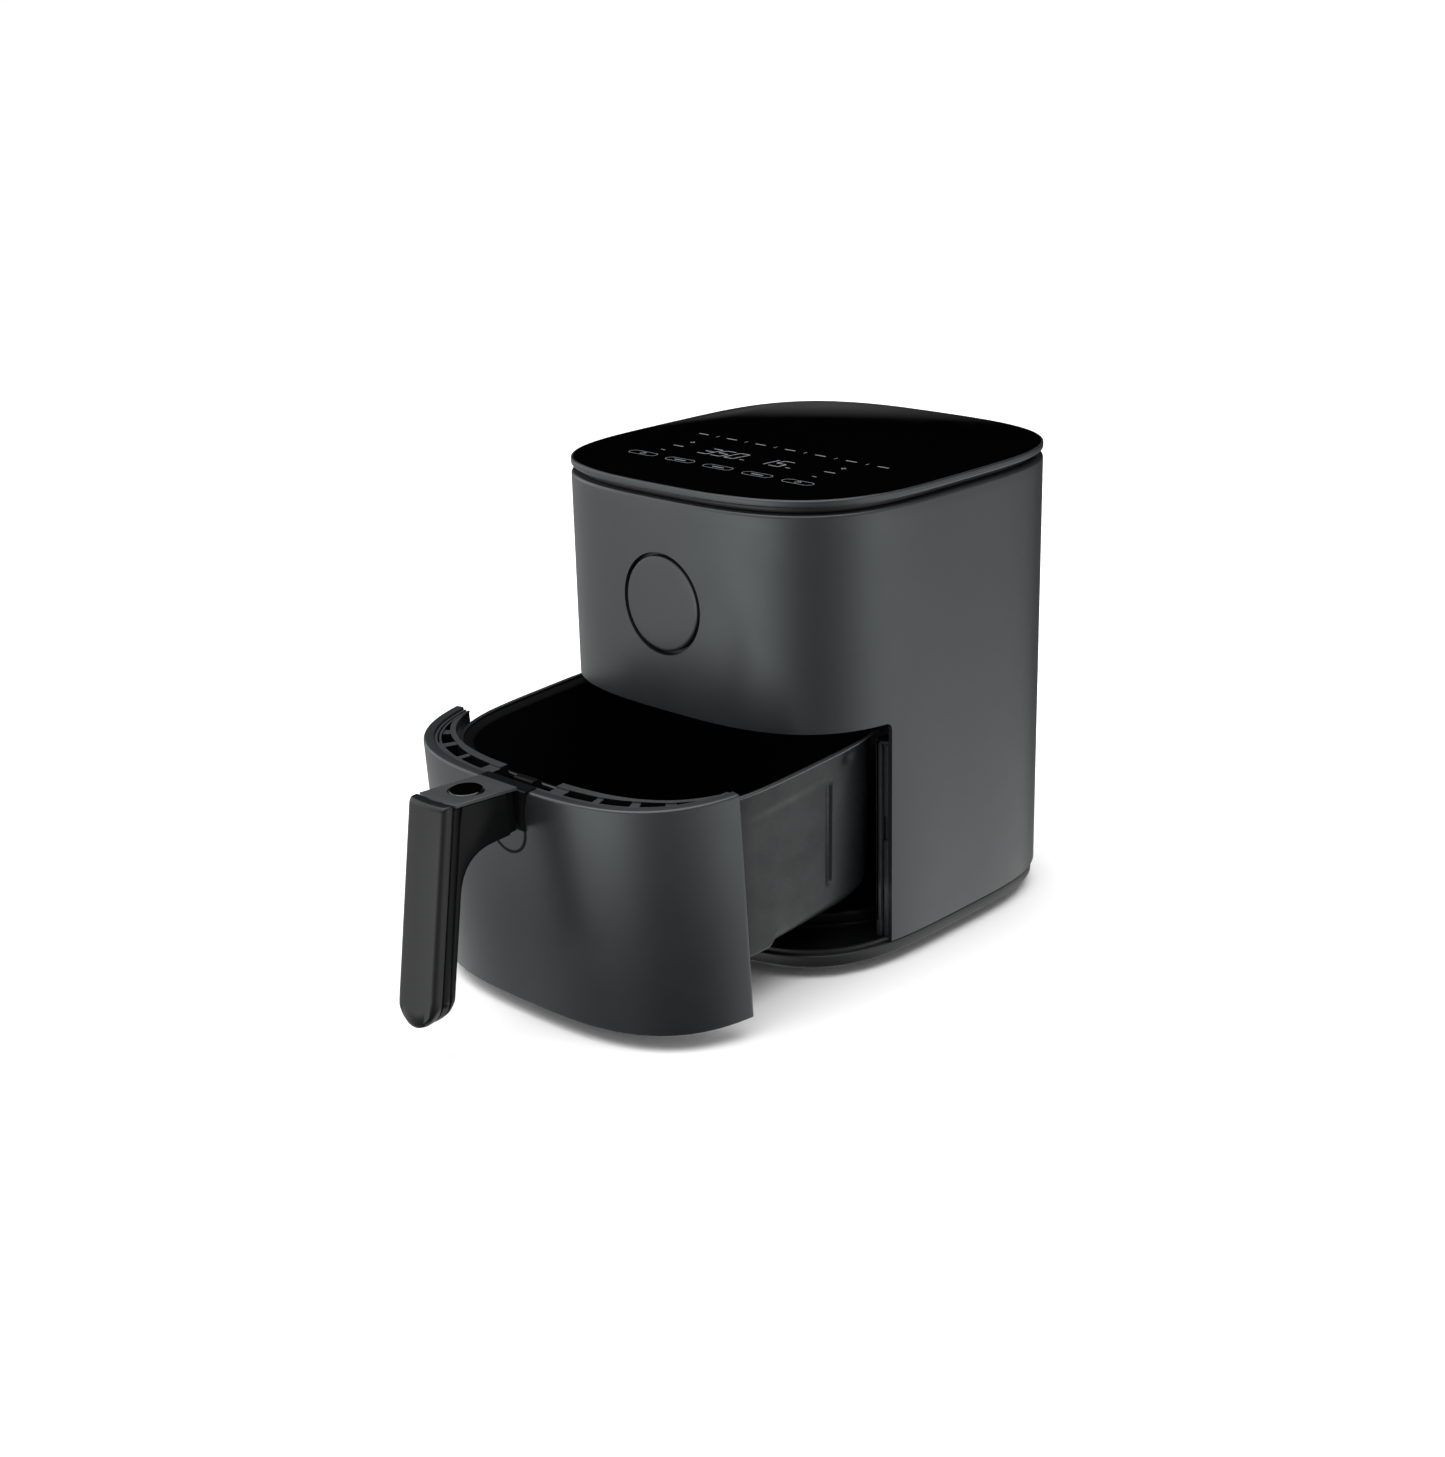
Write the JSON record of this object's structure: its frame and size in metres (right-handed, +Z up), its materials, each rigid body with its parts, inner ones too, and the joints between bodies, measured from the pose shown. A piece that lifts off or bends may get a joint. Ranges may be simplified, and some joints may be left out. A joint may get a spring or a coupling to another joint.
{
  "type": "air fryer",
  "caption": "Drawer-type air fryer with a flat touch panel, a pull-out pan with a crisper plate, and a handle with a release button; hot air from a fan and heater above the pan cooks the food.",
  "frame": {"origin": "centre of the bottom of the whole object, drawer and handle included, on the surface it stands on", "axes": "+Z up, -Y to the front where the drawer pulls out, +X to the right side of someone facing its back"},
  "size_m": [0.2504, 0.4842, 0.302],
  "materials": {
    "slate_plastic": "satin moulded, dark slate grey",
    "black_plastic": "satin moulded, black",
    "gloss_black": "high gloss black",
    "rubber": "matt rubber or soft plastic",
    "nylon": "natural nylon",
    "sheet_metal": "rolled sheet",
    "coated_metal": "dark non-stick coating",
    "steel": "plain steel",
    "circuit_board": "solder-masked board"
  },
  "bodies": {
    "housing": {"outer_shell": "slate_plastic", "neck_ring": "black_plastic", "lid_frame": "slate_plastic", "touch_panel": "gloss_black", "control_board": "circuit_board", "display_module": "black_plastic", "badge_seat": "black_plastic", "badge_disc": "slate_plastic", "base_tray": "black_plastic", "cavity_floor": "black_plastic", "foot_1": "rubber", "foot_2": "rubber", "foot_3": "rubber", "foot_4": "rubber", "left_guide": "black_plastic", "right_guide": "black_plastic", "cavity_liner": "coated_metal", "chamber_deck": "coated_metal", "hot_air_dome": "sheet_metal", "heat_shield": "sheet_metal", "heating_element": "steel", "element_guard": "steel", "temperature_sensor": "steel", "thermal_fuse": "black_plastic", "motor_bracket": "steel", "fan_motor": "steel", "power_board": "circuit_board", "relay": "black_plastic", "capacitor": "gloss_black", "terminal_block": "rubber", "wire_harness": "rubber", "rear_vent": "black_plastic", "cord_inlet": "rubber", "interlock_switch": "black_plastic"},
    "fan_rotor": {"motor_shaft": "steel", "convection_fan": "sheet_metal", "cooling_fan": "black_plastic"},
    "interlock_plunger": {"interlock_plunger": "nylon"},
    "floor_glide": {"glide_bar": "nylon"},
    "drawer": {"drawer_front": "slate_plastic", "drawer_frame": "black_plastic", "pan": "coated_metal", "handle_tongue": "black_plastic", "handle_body": "black_plastic", "handle_seam": "rubber", "handle_cover": "black_plastic", "handle_top": "black_plastic", "handle_screw_1": "steel", "handle_screw_2": "steel", "button_spring": "steel"},
    "release_button": {"release_button": "gloss_black"},
    "pan_latch": {"pan_latch": "gloss_black"},
    "crisper": {"crisper_plate": "coated_metal", "plate_bumper_1": "rubber", "plate_bumper_2": "rubber", "plate_bumper_3": "rubber", "plate_bumper_4": "rubber"}
  },
  "joints": [
    {"name": "fan_spin", "type": "hinge", "parent": "housing", "child": "fan_rotor", "pos_m": [0, 0.10429, 0.195], "axis": [0, 0, 1], "continuous": true},
    {"name": "interlock_press", "type": "slide", "parent": "housing", "child": "interlock_plunger", "axis": [0, 1, 0], "range_m": [0, 0.002], "stiffness_N_per_m": 100},
    {"name": "drawer_tip", "type": "hinge", "parent": "housing", "child": "floor_glide", "pos_m": [0, -0.00171, 0.0354], "axis": [1, 0, 0], "range_deg": [-3.11, 0]},
    {"name": "drawer_slide", "type": "slide", "parent": "floor_glide", "child": "drawer", "axis": [0, -0.9985, -0.0541], "range_m": [-0.126, 0]},
    {"name": "button_press", "type": "slide", "parent": "drawer", "child": "release_button", "axis": [0, 0.0541, -0.9985], "range_m": [0, 0.003], "stiffness_N_per_m": 300, "deforming": ["button_spring"]},
    {"name": "latch_draw", "type": "slide", "parent": "drawer", "child": "pan_latch", "axis": [0, -0.9985, -0.0541], "range_m": [0, 0.002]},
    {"name": "plate_lift", "type": "slide", "parent": "drawer", "child": "crisper", "axis": [0, -0.0541, 0.9985], "range_m": [0, 0.08]}
  ],
  "couplings": [
    {"joint": "drawer_tip", "follows": "drawer_slide", "rad_per_m": 0.42941},
    {"joint": "latch_draw", "follows": "button_press", "ratio": 0.6666}
  ]
}
